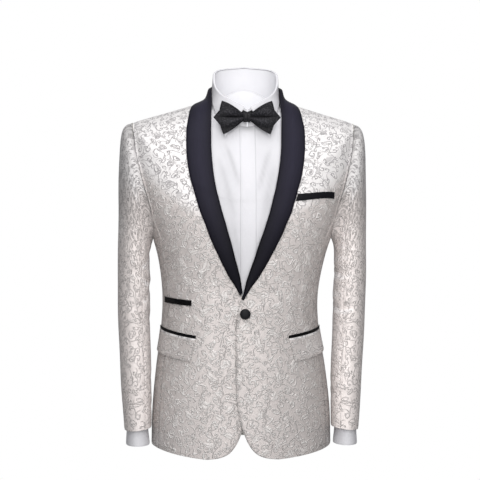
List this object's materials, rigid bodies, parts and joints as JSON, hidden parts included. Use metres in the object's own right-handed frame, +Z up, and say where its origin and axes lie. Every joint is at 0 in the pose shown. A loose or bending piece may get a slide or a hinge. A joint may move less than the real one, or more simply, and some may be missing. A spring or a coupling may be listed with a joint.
{
  "type": "tuxedo",
  "caption": "White jacquard dinner jacket with a black satin shawl collar, worn over a white dress shirt with a black bow tie.",
  "frame": {"origin": "middle of the neck, level with the inner ends of the jacket's shoulder seams", "axes": "+Z up, the front faces -Y, +X is the wearer's left"},
  "size_m": [0.5036, 0.2528, 0.7861],
  "materials": {
    "white_jacquard": "white jacquard with a woven scroll pattern, silky",
    "black_satin": "black satin",
    "shirt_cotton": "smooth white cotton",
    "bow_brocade": "black figured silk",
    "button_cover": "button covered in black cloth"
  },
  "bodies": {
    "root": {"bow_back": "bow_brocade", "bow_band": "bow_brocade", "bow_front": "bow_brocade", "bow_knot": "bow_brocade", "breast_welt": "black_satin", "front_button": "button_cover", "jacket_back_left": "white_jacquard", "jacket_back_right": "white_jacquard", "jacket_collar_stand": "white_jacquard", "jacket_front_left": "white_jacquard", "jacket_front_right": "white_jacquard", "jacket_side_left": "white_jacquard", "jacket_side_right": "white_jacquard", "jacket_sleeve_top_left": "white_jacquard", "jacket_sleeve_top_right": "white_jacquard", "jacket_sleeve_under_left": "white_jacquard", "jacket_sleeve_under_right": "white_jacquard", "pocket_flap_left": "white_jacquard", "pocket_flap_right": "white_jacquard", "pocket_jet_left": "black_satin", "pocket_jet_right": "black_satin", "shawl_collar_left": "black_satin", "shawl_collar_right": "black_satin", "shirt_back": "shirt_cotton", "shirt_collar_leaf": "shirt_cotton", "shirt_collar_stand": "shirt_cotton", "shirt_cuff_left": "shirt_cotton", "shirt_cuff_right": "shirt_cotton", "shirt_front_left": "shirt_cotton", "shirt_front_right": "shirt_cotton", "shirt_placket": "shirt_cotton", "shirt_sleeve_left": "shirt_cotton", "shirt_sleeve_right": "shirt_cotton", "ticket_welt": "black_satin"}
  },
  "joints": []
}
